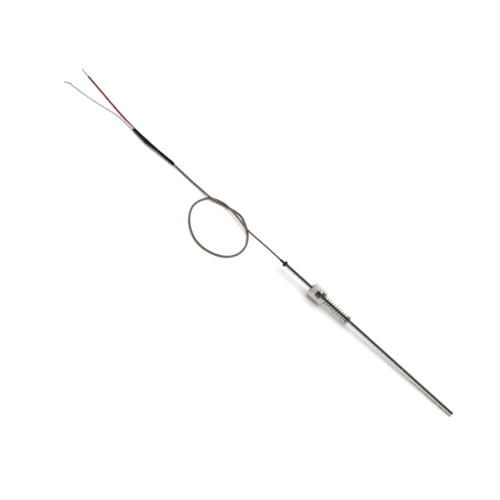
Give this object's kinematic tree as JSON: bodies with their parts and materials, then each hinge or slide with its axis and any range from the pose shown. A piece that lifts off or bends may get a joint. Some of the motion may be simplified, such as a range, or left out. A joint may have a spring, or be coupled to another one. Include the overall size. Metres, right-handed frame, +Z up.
{
  "type": "thermocouple",
  "caption": "Spring-loaded bayonet thermocouple: thin closed metal sheath with sliding locking cap, spring, braided cable and bare-ended leads.",
  "frame": {"origin": "bottom centre of the probe's box, measured without the cable and leads, on the surface that it lies on", "axes": "+X from the cable end towards the closed tip, +Z up; the probe dips 1.8 degrees towards its tip because it rests on the cap's rim"},
  "size_m": [0.4918, 0.0786, 0.0155],
  "materials": {
    "stainless": "polished drawn tube",
    "stainless_weld": "welded and dressed",
    "thermo_alloy": "as welded",
    "iron_wire": "drawn",
    "constantan_wire": "drawn copper-nickel",
    "white_glass_braid": "braided glass",
    "red_glass_braid": "braided glass",
    "cement": "cast",
    "black_sleeve": "satin",
    "black_oxide": "black oxide",
    "spring_steel": "phosphated",
    "nickel_plate": "bright nickel",
    "washer_steel": "rolled",
    "spring_wire": "bright drawn",
    "brown_glass_braid": "varnished glass braid",
    "heat_shrink": "satin",
    "crimp_metal": "tinned",
    "red_lead": "glass braid",
    "white_lead": "glass braid",
    "tinned_wire": "bare wire"
  },
  "bodies": {
    "probe": {"sheath_tube": "stainless", "tip_plug": "stainless_weld", "hot_junction": "thermo_alloy", "positive_thermoelement": "iron_wire", "negative_thermoelement": "constantan_wire", "positive_wire_insulation": "white_glass_braid", "negative_wire_insulation": "red_glass_braid", "tip_cement": "cement", "rear_seal": "cement", "strain_relief_sleeve": "black_sleeve", "cable_collar": "black_oxide", "rear_retaining_clip": "spring_steel", "compression_spring": "spring_wire", "spring_end_washer": "washer_steel", "spring_stop_clip": "spring_steel", "cable": "brown_glass_braid", "transition_sleeve": "heat_shrink", "splice_wires": "iron_wire", "splice_crimps": "crimp_metal", "red_lead_insulation": "red_lead", "white_lead_insulation": "white_lead", "red_lead_conductor": "tinned_wire", "white_lead_conductor": "tinned_wire"},
    "slider": {"thrust_washer": "washer_steel"},
    "cap": {"bayonet_cap": "nickel_plate"}
  },
  "joints": [
    {"name": "cap_slide", "type": "slide", "parent": "probe", "child": "slider", "axis": [0.9995, 0, -0.0311], "range_m": [0, 0.022], "stiffness_N_per_m": 640, "springref_m": -0.004, "deforming": ["compression_spring"]},
    {"name": "cap_turn", "type": "hinge", "parent": "slider", "child": "cap", "pos_m": [-0.06267, 0, 0.00774], "axis": [0.9995, 0, -0.0311], "continuous": true}
  ]
}
